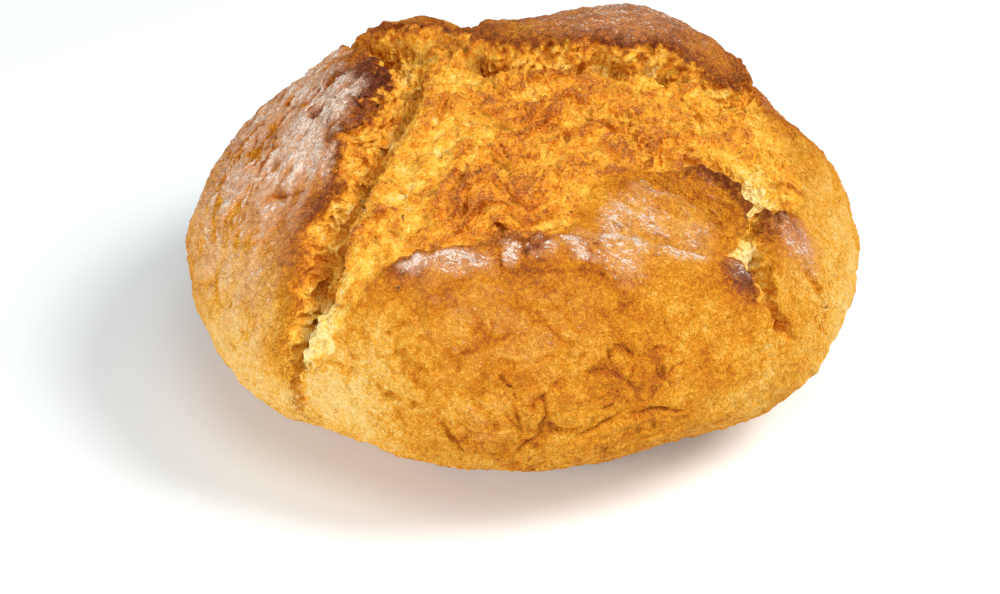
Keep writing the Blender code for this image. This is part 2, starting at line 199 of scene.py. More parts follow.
# Hollows and crests: (half width, height, path). They fade out towards both ends of the path.
tear_strokes = {
    "left_gully": (
        7.5, -6.5,
        ((-84, -105), (-78, -96), (-71, -86), (-63, -73), (-57, -59), (-52, -47), (-46, -35),
         (-41, -18), (-37, -3), (-35, 8), (-37, 22), (-44, 40), (-60, 72)),
    ),
    "left_gully_bed": (
        4.6, -1.6,
        ((-67, -81), (-60, -70), (-55, -58), (-50, -46), (-44, -34), (-38, -17), (-34, -2), (-30, 14)),
    ),
    "left_gully_slit": (
        2.0, -8.0,
        ((-92, -116), (-87, -107), (-82, -99), (-78, -93), (-74, -87), (-70, -81), (-66, -74)),
    ),
    "left_pit_low": (1.8, -5.0, ((-66, -82), (-63, -77), (-60, -72))),
    "left_pit_mid": (1.6, -5.5, ((-58, -70), (-55, -65), (-51, -58))),
    "left_pit_top": (2.4, -4.5, ((-53, -41), (-50, -37), (-47, -32))),
    "left_mound_edge": (
        2.8, 2.4,
        ((-53, -80), (-51, -71), (-47, -62), (-42, -52), (-38, -40), (-33, -29), (-28, -10), (-24, 9)),
    ),
    "fresh_rise": (4.6, 3.4, ((-77, -99), (-69, -90), (-62, -83), (-57, -76))),
    "back_gully": (
        6.5, -8.5,
        ((-22, 22), (-10, 15), (0, 13), (11, 15), (23, 14), (36, 15), (48, 12), (62, 9)),
    ),
    "left_pocket": (8.0, -3.0, ((-36, 26), (-28, 22), (-18, 22))),
    "back_left_gully": (6.0, -4.0, ((-24, 34), (-38, 40), (-52, 54), (-64, 76))),
    "back_right_gully": (5.0, -8.5, ((56, 9), (67, 14), (72, 32), (86, 64))),
    "right_gully": (5.5, -6.5, ((56, -28), (62, -36), (66, -42), (74, -38), (84, -32))),
    "right_low_gully": (
        2.6, -6.5,
        ((65, -44), (69, -52), (70, -58), (72, -64), (76, -69), (82, -74), (90, -78)),
    ),
    "front_rise": (19.0, 2.2, ((-44, -66), (-24, -56), (0, -52), (24, -38), (46, -20), (70, -10))),
    "crumb_brow": (4.0, 2.6, ((-14, -2), (-4, -2), (6, 3), (18, 7), (32, 7), (46, 5), (60, 3))),
    "crest_left": (4.5, 2.4, ((-34, -16), (-24, -11), (-12, -11), (-2, -15), (8, -15), (14, -20))),
    "crest_mid": (4.0, -1.8, ((0, -9), (12, -10), (24, -14), (36, -14), (50, -10))),
    "crest_low": (4.0, 1.8, ((-20, -30), (-10, -33), (2, -31))),
    "crest_right": (3.5, 2.0, ((6, -18), (14, -20), (20, -27), (26, -33))),
    "baked_patch": (5.5, 2.4, ((-21, -56), (-17, -49), (-8, -46), (2, -48), (8, -53))),
    "knob": (3.6, 3.0, ((46, 2), (51, 3), (56, 1))),
    "wall_shelf": (4.0, 3.0, ((-32, 4), (-26, 8), (-18, 12))),
}
skin_strokes = {
    "slab_ridge": (3.4, 1.5, ((-58, 34), (-56, 14), (-52, -2), (-55, -18))),
    "slab_flap": (4.0, -1.6, ((-50, 32), (-46, 14), (-45, 2), (-48, -8))),
    "front_hem": (
        1.8, 1.6,
        ((-34, -73), (-26, -72), (-12, -73), (4, -71), (20, -69), (36, -67), (54, -66)),
    ),
    "tongue_fold": (2.6, 3.0, ((25, -46), (32, -50), (39, -51), (46, -54), (54, -60))),
    "tongue_hollow": (3.0, -2.6, ((22, -63), (32, -61), (42, -61), (52, -62))),
    "tongue_slope": (4.0, -2.0, ((34, -44), (42, -46), (50, -48), (57, -54))),
    "back_notch": (3.6, -7.0, ((-20, 36), (-18, 56), (-17, 74), (-17, 92), (-17, 112))),
    "slit_tail": (1.5, -3.0, ((-82, -97), (-86, -104), (-89, -111), (-92, -119))),
    "right_tip_swell": (5.0, 2.4, ((72, -49), (79, -50), (85, -54))),
    "right_groove": (1.8, -2.4, ((86, -54), (92, -55), (98, -57), (102, -61), (101, -68))),
    "right_low_dent": (3.0, -1.6, ((79, -60), (83, -66), (90, -70))),
    "shoulder_groove": (1.8, -2.0, ((80, 16), (85, 8), (88, -2))),
    "side_groove": (1.6, -1.6, ((100, 2), (103, -8), (106, -17))),
    "left_groove": (2.2, -1.2, ((-74, -24), (-72, -34), (-66, -40))),
    "left_dent": (6.0, -1.4, ((-84, 6), (-78, -8), (-76, -22))),
    "back_groove": (2.6, -2.4, ((-34, 92), (-18, 98), (-2, 95), (14, 101), (30, 98))),
    "back_dent": (12.0, -2.0, ((20, 70), (36, 82), (44, 98))),
    "low_back_groove": (2.2, -1.8, ((40, 122), (56, 116), (70, 106))),
}
undulation, dimples, wall_grain = (34.0, 1.5), (9.0, 0.45), (2.6, 0.5)
crags = ((11.0, 1.6), (5.5, 1.3), (2.8, 0.8))
ragged_edge = ((9.0, 1.8), (3.5, 1.7))


def smooth_line(points, closed=False, steps=6):
    """A rounded line through the points (Catmull-Rom)."""
    p = np.array(points, float)
    if closed:
        p = np.concatenate([p[-1:], p, p[:2]])
    else:
        p = np.concatenate([2 * p[:1] - p[1:2], p, 2 * p[-1:] - p[-2:-1]])
    t = np.linspace(0.0, 1.0, steps, endpoint=False)[:, None]
    pieces = []
    for a, b, c, d in zip(p[:-3], p[1:-2], p[2:-1], p[3:]):
        bend = (2 * a - 5 * b + 4 * c - d) * t**2 + (3 * b - a - 3 * c + d) * t**3
        pieces.append(0.5 * (2 * b + (c - a) * t + bend))
    line = np.concatenate(pieces)
    return line if closed else np.concatenate([line, p[-2:-1]])


def reach_line(spots, line, closed=False):
    """Each spot's way to the line, how far along the line its nearest place is, and that place."""
    ends = np.roll(line, -1, axis=0) if closed else line[1:]
    starts = line if closed else line[:-1]
    lengths = np.hypot(*(ends - starts).T)
    before = np.concatenate([[0.0], np.cumsum(lengths)])
    nearest = np.full(len(spots), np.inf)
    share = np.zeros(len(spots))
    foot = np.zeros((len(spots), 2))
    for a, b, length, run in zip(starts, ends, lengths, before):
        along = np.clip(((spots - a) @ (b - a)) / max(length, 1e-9) ** 2, 0.0, 1.0)
        place = a + along[:, None] * (b - a)
        gap = np.hypot(*(spots - place).T)
        closer = gap < nearest
        nearest[closer] = gap[closer]
        share[closer] = (run + along[closer] * length) / before[-1]
        foot[closer] = place[closer]
    return nearest, share, foot


def is_inside(spots, loop):
    """Which spots lie inside the closed line, by counting the edges that a ray crosses."""
    x, y = spots.T
    inside = np.zeros(len(spots), bool)
    for (ax, ay), (bx, by) in zip(loop, np.roll(loop, -1, axis=0)):
        if ay != by:
            inside ^= ((ay > y) != (by > y)) & (x < (bx - ax) * (y - ay) / (by - ay) + ax)
    return inside


def lumps(places, size, seed):
    """Gradient noise in space, from about -1 to 1, whose lumps are about this size."""
    draw = np.random.default_rng(seed)
    order = draw.permutation(256)
    slopes = draw.normal(size=(256, 3))
    slopes /= np.linalg.norm(slopes, axis=1)[:, None]
    slopes = slopes.astype(np.float32)
    shift = draw.uniform(0, 100, 3)
    order = np.concatenate([order, order])
    cells, inner, ease = [], [], []
    for k in range(3):
        scaled = places[:, k] / size + shift[k]
        cell = np.floor(scaled)
        part = (scaled - cell).astype(np.float32)
        cells.append(cell.astype(np.int64) & 255)
        inner.append(part)
        ease.append(part * part * part * (part * (part * 6 - 15) + 10))
    total = 0
    for i in (0, 1):
        hash_x = order[(cells[0] + i) & 255]
        weight_x = ease[0] if i else 1 - ease[0]
        for j in (0, 1):
            hash_xy = order[hash_x + ((cells[1] + j) & 255)]
            weight_xy = weight_x * (ease[1] if j else 1 - ease[1])
            for k in (0, 1):
                slope = slopes[order[hash_xy + ((cells[2] + k) & 255)]]
                rise = (
                    slope[:, 0] * (inner[0] - i)
                    + slope[:, 1] * (inner[1] - j)
                    + slope[:, 2] * (inner[2] - k)
                )
                total = total + weight_xy * (ease[2] if k else 1 - ease[2]) * rise
    return total * 1.7


def ease_between(low, high, value):
    t = np.clip((value - low) / (high - low), 0.0, 1.0)
    return t * t * (3 - 2 * t)


def bells(spots, table):
    """Sum of soft round bumps, each (x, y, reach, height)."""
    total = np.zeros(len(spots))
    for x, y, reach, height in table.values():
        total += height * np.exp(-(((spots[:, 0] - x) ** 2 + (spots[:, 1] - y) ** 2) / reach**2))
    return total


def narrow(value, width):
    """1 where the value is nought, and soft down to nothing over this half width."""
    return np.exp(-((value / width) ** 2))


def strokes(spots, table):
    """Sum of the long hollows and crests."""
    total = np.zeros(len(spots))
    for half_width, height, path in table.values():
        line = smooth_line(path)
        low, high = line.min(0) - 3 * half_width, line.max(0) + 3 * half_width
        near = np.all((spots > low) & (spots < high), axis=1)
        gap, share, _ = reach_line(spots[near], line)
        fade = ease_between(0.0, 0.16, share) * ease_between(0.0, 0.16, 1 - share)
        total[near] += height * fade * narrow(gap, half_width)
    return total


tear_loop = smooth_line(left_lip + back_lip + right_lip + front_lip, closed=True, steps=3)
gully_strokes = {name: stroke for name, stroke in tear_strokes.items() if "gully" in name}
crest_strokes = {name: stroke for name, stroke in tear_strokes.items() if "gully" not in name}


def crust_cover(sound, soft):
    """How far the crust covers the crumb: it thins out down the broken wall under the lip."""
    return ease_between(-lip_wall * (1 + soft_wall_gain * soft), 0.0, sound)


def read_skin(spots, places):
    """What the skin is like at each spot.

    That is how far outside the tear it lies, how soft the edge is there, how much crust covers
    it, how far the lip curls, and the way out of the tear.
    """
    gap, _, foot = reach_line(spots, tear_loop, closed=True)
    inside = is_inside(spots, tear_loop)
    away = (spots - foot) * np.where(inside, -1, 1)[:, None]
    away /= np.maximum(gap, 1e-6)[:, None]
    sound = np.where(inside, -gap, gap)
    for seed, (size, swing) in enumerate(ragged_edge):
        sound += swing * lumps(places, size, 40 + seed)
    soft = np.zeros(len(spots))
    for x, y, reach in soft_edges.values():
        soft = np.maximum(soft, np.exp(-(((spots[:, 0] - x) ** 2 + (spots[:, 1] - y) ** 2) / reach**2)))
    cover = crust_cover(sound, soft)
    curl = bells(spots, lip_curls) * (1 - soft)
    return sound, soft, cover, curl, away


def raise_skin(spots, places):
    """Height of the skin over the round body, its sideways lean over the tear, and the tear's marks."""
    sound, soft, cover, curl, away = read_skin(spots, places)
    body = bells(spots, body_swells) + undulation[1] * lumps(places, undulation[0], 3)
    rise = np.exp(-np.clip(sound, 0, None) / lip_width)
    skin = curl * rise + strokes(spots, skin_strokes) + dimples[1] * lumps(places, dimples[0], 5)
    crag = sum(h * lumps(places, s, 20 + i) for i, (s, h) in enumerate(crags))
    gully = strokes(spots, gully_strokes)
    crests = strokes(spots, crest_strokes)
    crumb = tear_floor * (1 - soft) + gully + crests + crag * (1 - 0.5 * soft)
    lean = lip_lean * np.clip(skin - crumb, 0.0, lip_lean_limit) * curl / (curl + 1.0)
    hang = np.where(sound > 0, rise, 2.2 * cover - 1.2 * cover**2 - 0.6 * cover * (1 - cover))
    broken = 4 * cover * (1 - cover) * wall_grain[1] * lumps(places, wall_grain[0], 9)
    level = body + crumb + (skin - crumb) * cover + broken
    in_gully = np.clip(-gully / full_gully, 0, 1)
    return level, lean * hang, away, sound, soft, curl, in_gully, gully + crests + crag


bpy.ops.object.select_all(action="DESELECT")
bpy.ops.mesh.primitive_ico_sphere_add(subdivisions=8, radius=1.0)
loaf = bpy.context.object
loaf.name = "loaf_baked"


def read_vectors(layer, name, count, width=3):
    """A layer of the mesh as rows of numbers."""
    rows = np.empty(count * width, np.float32)
    layer.foreach_get(name, rows)
    return rows.reshape(-1, width).astype(float)


def keep_marks(mesh, name, *columns):
    """Up to three numbers at each vertex, kept as a colour layer."""
    rows = np.ones((len(mesh.vertices), 4), np.float32)
    for k, column in enumerate(columns):
        rows[:, k] = column
    mesh.attributes.new(name, "FLOAT_COLOR", "POINT").data.foreach_set("color", rows.ravel())


ball = read_vectors(loaf.data.vertices, "co", len(loaf.data.vertices))
foot_turn, way_step, foot_height, flat_below = math.radians(128), 0.5, 9.0, 0.35
turn = np.arccos(np.clip(ball[:, 2], -1, 1))
bearing = np.arctan2(ball[:, 1], ball[:, 0])
around = np.column_stack([np.cos(bearing), np.sin(bearing)])
along = np.clip(turn / foot_turn, 0, 1) * profile_way[-1]
under = np.clip((turn - foot_turn) / (math.pi - foot_turn), 0, 1)
spots = along[:, None] * around
places = on_round_body(along, around)
level, lean, away, sound, soft, curl, gully, crumb_height = raise_skin(spots, places)

down = on_round_body(np.minimum(along + way_step, profile_way[-1]), around)
down -= on_round_body(np.maximum(along - way_step, 0), around)
down /= np.maximum(np.linalg.norm(down, axis=1)[:, None], 1e-9)
side = np.column_stack([-around[:, 1], around[:, 0], np.zeros(len(around))])
normal = np.cross(side, down)
normal[np.sum(normal[:, :2] * around, axis=1) < 0] *= -1
normal[:, 2] *= ease_between(0.0, foot_height, places[:, 2])
towards_foot = -np.sum(away * around, axis=1)[:, None]
round_loaf = away[:, :1] * around[:, 1:] - away[:, 1:] * around[:, :1]
shaped = places + level[:, None] * normal + lean[:, None] * (towards_foot * down + round_loaf * side)
shaped[:, :2] *= 1 - under[:, None]
shaped[shaped[:, 2] < flat_below, 2] = 0.0
middle = (shaped.min(0) + shaped.max(0)) / 2
shaped[:, :2] -= middle[:2]
loaf.data.vertices.foreach_set("co", (shaped * MM).astype(np.float32).ravel())
mark_layers = ("laid_out", "tear_marks", "lip_marks")
keep_marks(loaf.data, "laid_out", spots[:, 0] * MM, spots[:, 1] * MM)
keep_marks(loaf.data, "tear_marks", sound * MM, soft, gully)
keep_marks(loaf.data, "lip_marks", curl * MM, crumb_height * MM)
loaf.data.update()

# An even net over the whole skin, so that the torn walls take as fine a grain as the rest. What
# was marked on the first net is carried over to it.
net_step = 0.58 * MM
loaf.select_set(True)
bpy.ops.object.duplicate()
pattern = bpy.context.object
bpy.ops.object.select_all(action="DESELECT")
bpy.context.view_layer.objects.active = loaf
for marks in mark_layers:
    loaf.data.attributes.remove(loaf.data.attributes[marks])
net = loaf.modifiers.new("net", "REMESH")
net.mode = "VOXEL"
net.voxel_size = net_step
bpy.ops.object.modifier_apply(modifier=net.name)
carry = loaf.modifiers.new("carry", "DATA_TRANSFER")
carry.object = pattern
carry.use_vert_data = True
carry.data_types_verts = {"COLOR_VERTEX"}
carry.vert_mapping = "POLYINTERP_NEAREST"
bpy.ops.object.datalayout_transfer(modifier=carry.name)
bpy.ops.object.modifier_apply(modifier=carry.name)
bpy.data.objects.remove(pattern)

count = len(loaf.data.vertices)
laid_out, tear_marks, lip_marks = (
    read_vectors(loaf.data.attributes[marks].data, "color", count, 4) for marks in mark_layers
)
for marks in mark_layers:
    loaf.data.attributes.remove(loaf.data.attributes[marks])
spots = laid_out[:, :2] / MM
along = np.maximum(np.hypot(*spots.T), 1e-6)
places = on_round_body(along, spots / along[:, None])
sound, soft, gully = tear_marks[:, 0] / MM, tear_marks[:, 1], tear_marks[:, 2]
curl, crumb_height = lip_marks[:, 0] / MM, lip_marks[:, 1] / MM
skin_place = read_vectors(loaf.data.vertices, "co", count) / MM
outward = read_vectors(loaf.data.vertices, "normal", count)
sound += (0.5 + 0.3 * np.clip(curl, 0, 3)) * lumps(skin_place, 2.0, 50)
cover = crust_cover(sound, soft)
behind_lip, curled = np.clip(sound, 0, None), np.clip(curl / 2.0, 0, 1)
flat = 0 * along


def wander(places, size, seed):
    """Small pushes all three ways, that bend a pattern out of true."""
    return np.column_stack([lumps(places, size, seed + i) for i in range(3)])


def drawn_out(heading, thin, long, depth):
    """The rolled out skin turned to a heading, and pressed together by these two shares."""
    cosine, sine = heading
    x, y = spots.T
    return np.column_stack([(cosine * x - sine * y) / thin, (sine * x + cosine * y) / long, depth])


# The torn crumb. Where the loaf pulled apart it tore in short overlapping flakes whose edges face
# the front, with ragged pores between them, and drew out into strands along the gullies.
torn = 1 - cover
warped = skin_place + 1.6 * wander(skin_place, 5.0, 60)
flake_length, flake_height, flake_back, flake_front = 12.0, 2.7, 0.86, 0.14
shred_sizes = ((4.4, 0.62), (2.3, 0.50), (1.3, 0.34))
strand_heading, strand_draw = (0.91, 0.41), 9.0
flake_run = -(0.93 * spots[:, 1] - 0.28 * spots[:, 0]) / flake_length
flake_run = flake_run + 1.15 * lumps(places, 17.0, 64) + 0.42 * lumps(places, 6.5, 65)
flake_step = flake_run - np.floor(flake_run)
flake_rise = np.where(
    flake_step < flake_back, flake_step / flake_back, (1 - flake_step) / flake_front
)
flake_size = np.clip(0.9 + 0.9 * lumps(places, 21.0, 66), 0.15, 1.8) * (1 - gully) * (1 - 0.6 * soft)
flakes = flake_height * flake_size * (flake_rise**1.5 - 0.4)
shreds = np.zeros(count)
for seed, (size, height) in enumerate(shred_sizes):
    shreds += height * (0.7 - 2.0 * np.abs(lumps(warped, size, 70 + seed)))
rough_patch = np.clip(0.85 + 0.8 * lumps(places, 15.0, 75), 0.35, 1.5)
pores = -1.3 * ease_between(0.38, 0.72, lumps(warped, 3.4, 76))
pores = pores - 0.8 * ease_between(0.42, 0.7, lumps(warped, 1.9, 77))
pulled = drawn_out(strand_heading, 1.0, strand_draw, 0.5 * skin_place[:, 2])
pulled = pulled + 1.1 * wander(skin_place, 8.0, 78)
strands = 3.0 * (0.45 - 2.0 * np.abs(lumps(pulled, 2.5, 81)))
strands = strands + 1.4 * (0.5 - 2.0 * np.abs(lumps(pulled, 1.25, 82)))
torn_relief = flakes + (shreds * rough_patch + pores) * (1 - 0.3 * gully) + strands * gully


def crack_net(places, size, seed):
    """How far each place is from the edges of a net of uneven cells."""
    draw = np.random.default_rng(seed)
    order = draw.permutation(256)
    centres = draw.uniform(0.05, 0.95, (256, 3)).astype(np.float32)
    order = np.concatenate([order, order])
    scaled = places / size + draw.uniform(0, 100, 3)
    cell = np.floor(scaled).astype(np.int64)
    part = (scaled - cell).astype(np.float32)
    first = np.full(len(places), 9.0, np.float32)
    second = first.copy()
    for shift in np.ndindex(3, 3, 3):
        shift = np.array(shift) - 1
        x, y, z = ((cell + shift) & 255).T
        centre = centres[order[(order[(order[x] + y) & 255] + z) & 255]] + shift
        gap = np.linalg.norm(centre - part, axis=1)
        second = np.minimum(second, np.maximum(first, gap))
        first = np.minimum(first, gap)
    return (second - first) * size / 2


# The sound crust. Sandy all over with meal, uneven like risen dough, and creased where it shrank
# and slid over the crumb below, most of all low on the front. The left slab is raked by streaks.
creases = {
    "fold_a": (0.66, -1.2, ((-9, -107), (-5, -110), (-3, -111))),
    "fold_b": (0.66, -1.0, ((-11, -109), (-13, -112), (-18, -113))),
    "fold_c": (0.66, -1.0, ((-3, -111), (-3, -117), (-1, -125))),
    "fold_d": (0.74, -1.2, ((8, -113), (3, -116), (4, -119), (10, -120))),
    "fold_e": (0.66, -0.9, ((-3, -113), (0, -116), (4, -117))),
    "arch": (
        0.74, -1.1,
        ((19, -111), (19, -107), (22, -105), (27, -105), (32, -107), (36, -110), (39, -115)),
    ),
    "long_low": (
        0.74, -1.4,
        ((18, -127), (25, -123), (30, -119), (36, -116), (42, -114), (50, -112), (58, -111)),
    ),
    "low_left": (0.74, -1.1, ((-5, -133), (5, -128), (15, -124))),
    "left_slant": (0.66, -1.2, ((-33, -115), (-28, -119), (-26, -125), (-21, -132))),
    "left_upper": (0.66, -1.0, ((-41, -95), (-36, -99), (-33, -103), (-29, -104))),
    "left_level": (0.57, -0.8, ((-47, -108), (-41, -109), (-36, -113))),
    "right_level": (0.66, -0.9, ((27, -97), (34, -99), (40, -95), (48, -94))),
    "middle": (0.57, -0.7, ((11, -90), (14, -93), (17, -96))),
    "hem_cut": (0.57, -1.0, ((-6, -67), (-7, -73), (-6, -78))),
    "hem_slant": (0.74, -0.9, ((-1, -75), (3, -72), (7, -68))),
    "hem_cut_right": (0.57, -0.8, ((17, -66), (19, -71), (19, -76), (25, -79))),
    "under_hem": (0.66, -0.7, ((-7, -78), (3, -79), (12, -78), (24, -77))),
    "right_fold": (0.82, -1.5, ((84, -55), (91, -54), (96, -56), (100, -60), (103, -66))),
    "right_fold_low": (0.66, -1.0, ((92, -62), (96, -66), (98, -71))),
    "right_slot": (0.66, -1.1, ((115, 34), (118, 36), (120, 40))),
    "pale_fold": (0.66, -0.9, ((-56, -87), (-54, -94), (-57, -101))),
    "pale_fold_right": (0.57, -0.8, ((-47, -93), (-43, -98), (-40, -104))),
    "left_nick": (0.74, -0.9, ((-97, -52), (-96, -58), (-93, -62))),
    "left_nick_low": (0.66, -0.8, ((-107, -61), (-101, -69), (-98, -76))),
    "slab_crease": (0.6, -0.7, ((-76, -24), (-75, -31), (-68, -35), (-62, -35))),
    "slab_slot": (1.07, -1.0, ((-58, 2), (-63, -8), (-66, -18))),
    "slab_slot_low": (0.98, -0.9, ((-68, 12), (-76, 2), (-80, -8))),
}
ridges = {
    "front_fold": (1.4, 0.8, ((-29, -76), (-28, -83), (-28, -89), (-28, -96))),
    "hem_edge": (1.2, 0.7, ((-6, -78), (6, -79), (18, -78), (26, -79))),
    "middle_fold": (1.1, 0.5, ((12, -97), (18, -98), (24, -97))),
    "long_low_lip": (1.3, 0.6, ((24, -126), (31, -122), (38, -118), (50, -115))),
}
crease_zones = {
    "front_low": (-2, -120, 34, 1.0),
    "front_right": (36, -104, 24, 0.7),
    "front_left": (-48, -102, 20, 0.8),
    "left": (-104, -34, 40, 0.45),
    "right": (108, -40, 30, 0.35),
    "back": (0, 124, 70, 0.6),
}
creased = np.clip(bells(spots, crease_zones), 0, 1)
crinkled = places + 2.6 * wander(places, 8.0, 100)
crinkled += 0.9 * wander(places, 3.2, 95)
wide_net, fine_net, close_net = (
    crack_net(crinkled, size, seed) for size, seed in ((17.0, 103), (8.5, 104), (4.6, 107))
)
wide_shown = ease_between(0.0, 0.4, lumps(places, 12.0, 105)) * creased
fine_shown = ease_between(-0.05, 0.4, lumps(places, 9.0, 106)) * (0.3 + 0.7 * creased)
close_shown = ease_between(-0.1, 0.4, lumps(places, 11.0, 108)) * (0.4 + 0.6 * creased)
cracks = -0.95 * narrow(wide_net, 0.6) * wide_shown
cracks -= 0.7 * narrow(fine_net, 0.55) * fine_shown
cracks -= 0.36 * narrow(close_net, 0.5) * close_shown
cracks += 0.34 * narrow(wide_net - 2.0, 1.1) * wide_shown
uneven_spots = spots + (crinkled - places)[:, :2] * 0.45
crease_strength = np.clip(0.65 + 0.9 * lumps(skin_place, 5.0, 109), 0.1, 1.3)
crease_depth = strokes(uneven_spots, creases) * crease_strength
rake_heading, comb_heading, comb_draw = (0.9, 0.43), (0.91, 0.41), 5.0
raked = drawn_out(rake_heading, 1.0, comb_draw, flat)
raked = raked + 1.6 * np.column_stack([lumps(places, 7.0, 110), lumps(places, 7.0, 111), flat])
rake_line = lumps(raked, 3.4, 112) + 0.5 * lumps(raked, 1.8, 113)
slab_zone = np.clip(bells(spots, {"slab": (-74, 2, 30, 1.3), "slab_low": (-90, -30, 20, 0.5)}), 0, 1)
wrinkle_run = raked * np.array([1.0, 0.6, 1.0])
wrinkle = narrow(lumps(wrinkle_run, 3.6, 114), 0.13)
wrinkle = wrinkle * ease_between(-0.15, 0.25, lumps(places, 9.0, 115))
rakes = (-0.4 * ease_between(0.25, 0.6, rake_line) - 0.85 * wrinkle) * slab_zone
lip_blisters = np.exp(-behind_lip / 5.0) * np.clip(curl / 2.0, 0, 1.3)
lip_blisters = lip_blisters * (1.5 * lumps(skin_place, 4.6, 85) + 1.3 * lumps(skin_place, 2.3, 86))
unevenness = 0.75 * lumps(skin_place, 9.0, 88) + 0.55 * lumps(skin_place, 4.6, 89)
leather = 0.42 * (0.5 - 2.2 * np.abs(lumps(skin_place, 3.4, 87)))
grain = 0.27 * lumps(skin_place, 2.4, 90) + 0.19 * lumps(skin_place, 1.35, 91)
sound_relief = unevenness + leather + grain + cracks + crease_depth + strokes(spots, ridges)
sound_relief = sound_relief + rakes + lip_blisters

# The tongue is combed by fine lines along its length.
combed = drawn_out(comb_heading, comb_draw, 1.0, flat)
combed = combed + 0.8 * np.column_stack([flat, lumps(places, 6.0, 116), flat])
tongue_zone = np.clip(bells(spots, {"tongue": (42, -50, 13, 1.3), "root": (25, -60, 8, 0.9)}), 0, 1)
tongue_lines = narrow(lumps(combed, 2.6, 117), 0.16)
tongue_lines = tongue_lines * ease_between(-0.2, 0.2, lumps(places, 7.0, 118))
sound_relief += 0.75 * tongue_lines * tongue_zone

relief = torn * torn_relief + cover * sound_relief
relief_from, relief_full, table_gap = 0.2, 2.5, 0.02
relief *= ease_between(relief_from, relief_full, skin_place[:, 2])
skin_place += relief[:, None] * outward
skin_place[skin_place[:, 2] < table_gap, 2] = 0.0

# The finished skin keeps within the size of the solid that it stands for.
box_low, box_high = np.array(cad_box[0]) / MM, np.array(cad_box[1]) / MM
skin_low, skin_high = skin_place.min(0), skin_place.max(0)
spare = np.array([0.06, 0.06, 0.03])
fit = np.minimum((box_high - box_low - 2 * spare) / (skin_high - skin_low), 1.0)
skin_place = (skin_place - skin_low) * fit + skin_low
skin_place[:, :2] -= ((skin_place.min(0) + skin_place.max(0)) / 2 - (box_low + box_high) / 2)[:2]
skin_place[:, 2] = np.minimum(skin_place[:, 2], box_high[2] - spare[2])

# How baked, floured and scorched each place is. Raised places brown first, and the flour that the
# dough was dusted with lies in streaks between the grooves. Painted shade is laid in with the
# baking: darker in the creases and cracks, and in the gullies between the strands.
crumb_spots = {
    "island": (-15, -52, 8, 0.20),
    "island_right": (0, -50, 9, 0.18),
    "island_low": (4, -60, 9, 0.10),
    "crest": (-10, -12, 8, 0.20),
    "crest_right": (6, -17, 8, 0.22),
    "patch": (-4, -33, 5, 0.26),
    "left_lump": (-30, 8, 4, 0.30),
    "brow": (20, 4, 14, 0.12),
    "right_rise": (30, -16, 18, 0.10),
    "right_far": (60, -12, 22, 0.02),
    "pale_left": (-22, -32, 14, -0.16),
    "pale_left_low": (-34, -50, 9, -0.08),
    "pale_front": (-64, -87, 10, -0.90),
    "gully_wall": (-50, -30, 9, 0.10),
    "pale_right": (66, -58, 8, -0.46),
    "pale_right_low": (72, -67, 6, -0.40),
    "low_floor": (75, -62, 5, 0.34),
    "yellow_right": (67, -35, 11, -0.42),
    "island_rim": (-20, -45, 4, 0.26),
    "island_rim_right": (-11, -43, 4, 0.16),
    "back_wall": (6, 15, 10, -0.14),
    "back_wall_right": (36, 16, 12, -0.10),
    "corner_wall": (66, 12, 9, -0.12),
}
near_lip = torn * np.exp(-np.clip(-sound - 2.5, 0, None) / 2.5) * curled
flake_tips = flake_size * flake_rise**3 - 0.15
crumb_bake_and_shade = 0.47 + 0.16 * near_lip + 0.030 * np.clip(crumb_height, -4, 9)
crumb_bake_and_shade = crumb_bake_and_shade + 0.13 * (shreds + pores) + bells(spots, crumb_spots)
crumb_bake_and_shade += (
    0.34 * flake_tips + 0.18 * lumps(places, 12.0, 120) + 0.20 * lumps(skin_place, 3.4, 121)
)
# The last term lays the gullies browner, and darker between the strands than on them: painted shade in
# the gullies.
crumb_bake_and_shade += 0.34 * ease_between(0.35, 1.0, cover) * (1 - soft) + (0.06 - 0.07 * strands) * gully
crust_spots = {
    "left_slab": (-66, 2, 36, 0.30),
    "left_rim": (-64, -46, 14, 0.16),
    "left_low": (-100, -76, 34, -0.34),
    "left_side": (-112, -20, 26, -0.12),
    "front_left": (-60, -108, 24, -0.38),
    "front": (10, -100, 44, 0.02),
    "front_hem": (0, -76, 24, 0.06),
    "tongue": (48, -43, 12, 0.06),
    "right": (106, -36, 44, -0.25),
    "front_right": (84, -100, 26, -0.10),
    "right_tip": (80, -45, 9, 0.34),
    "front_tip": (62, -68, 7, 0.30),
    "slab_flap": (-45, 12, 10, 0.40),
    "hem_corner": (-34, -73, 6, 0.30),
    "shoulder": (84, 20, 16, 0.14),
    "back_slab": (30, 54, 56, 0.18),
    "back": (-20, 120, 70, 0.12),
}
crust_bake_and_shade = 0.43 + bells(spots, crust_spots)
crust_bake_and_shade = crust_bake_and_shade + 0.10 * lumps(places, 24.0, 130) + 0.10 * lumps(places, 8.0, 131)
# Darker along the creases and cracks, and bare of flour there further down: painted shade in the
# creases.
crease_painted_shade = np.clip(-(crease_depth + cracks), 0, 1)
crust_bake_and_shade += 0.26 * np.exp(-behind_lip / 8.0) * curled
crust_bake_and_shade += 0.22 * crease_painted_shade + 0.07 * unevenness + 0.10 * ease_between(60, 100, along - 96)
lip_scorch = {
    "left_slab": (-44, 0, 22, 0.84),
    "left_low": (-55, -34, 15, 0.60),
    "left_slit": (-70, -80, 16, 0.30),
    "back_slab": (30, 22, 40, 0.55),
    "back_left": (-38, 50, 14, 0.6),
    "tongue": (54, -40, 13, 0.9),
    "front_tip": (63, -68, 7, 0.6),
    "right_tip": (70, -46, 9, 0.7),
}
scorch_reach = 4.2 + 4.0 * bells(spots, {"slab": (-44, 4, 15, 1.0)}) + 2.4 * lumps(skin_place, 4.0, 133)
scorch = np.exp(-((behind_lip / np.clip(scorch_reach, 1.5, 9)) ** 1.4))
